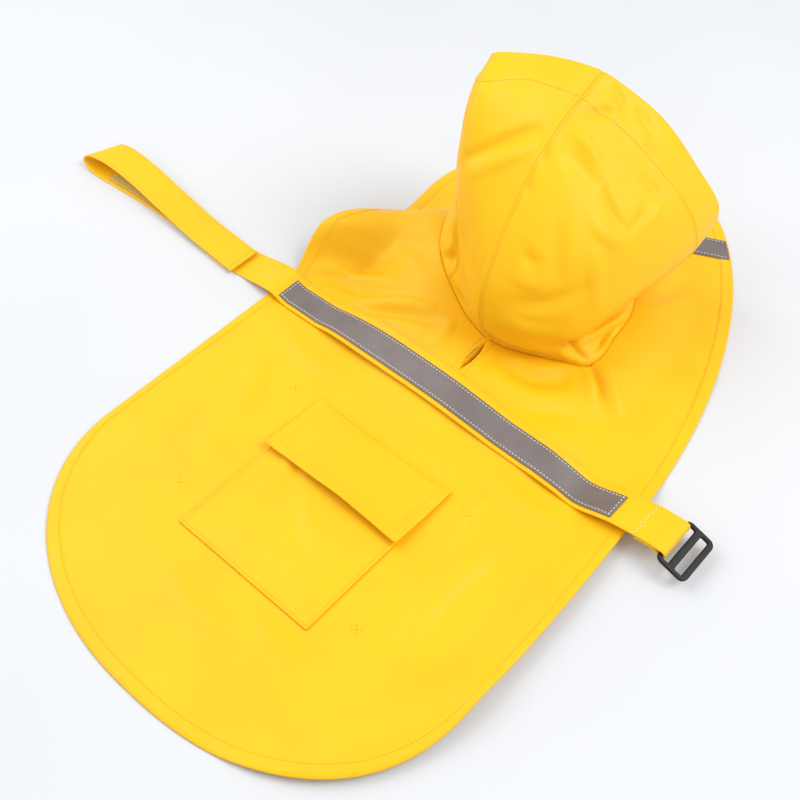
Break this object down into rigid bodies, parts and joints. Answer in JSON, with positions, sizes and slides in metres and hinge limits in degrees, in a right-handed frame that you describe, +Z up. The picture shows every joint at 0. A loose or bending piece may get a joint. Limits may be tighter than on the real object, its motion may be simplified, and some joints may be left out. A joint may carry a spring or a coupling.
{
  "type": "dog raincoat",
  "caption": "Hooded dog raincoat laid out flat, with a standing hood, a back pocket with a flap, reflective tapes and a belly strap with a slider buckle.",
  "frame": {"origin": "on the table, under the middle of the pocket, on the coat's centre line", "axes": "+Z up from the table, +Y along the coat from its tail to its hood, +X to the strap's buckle"},
  "size_m": [0.7269, 0.7252, 0.223],
  "materials": {
    "yellow_cloth": "bright yellow coated raincoat cloth, soft sheen",
    "reflective_tape": "brownish grey glass-bead reflective tape, satin",
    "fastening_patch": "straw yellow hook and loop tape, dull",
    "black_plastic": "black moulded acetal, satin"
  },
  "bodies": {
    "root": {"body_panel": "yellow_cloth", "hood_right": "yellow_cloth", "hood_left": "yellow_cloth", "belly_strap": "yellow_cloth", "back_tape": "reflective_tape", "chest_tape_right": "reflective_tape", "chest_tape_left": "reflective_tape", "loop_patch": "fastening_patch", "hook_patch": "fastening_patch", "pocket": "yellow_cloth", "pocket_flap": "yellow_cloth", "slider_buckle": "black_plastic"}
  },
  "joints": []
}
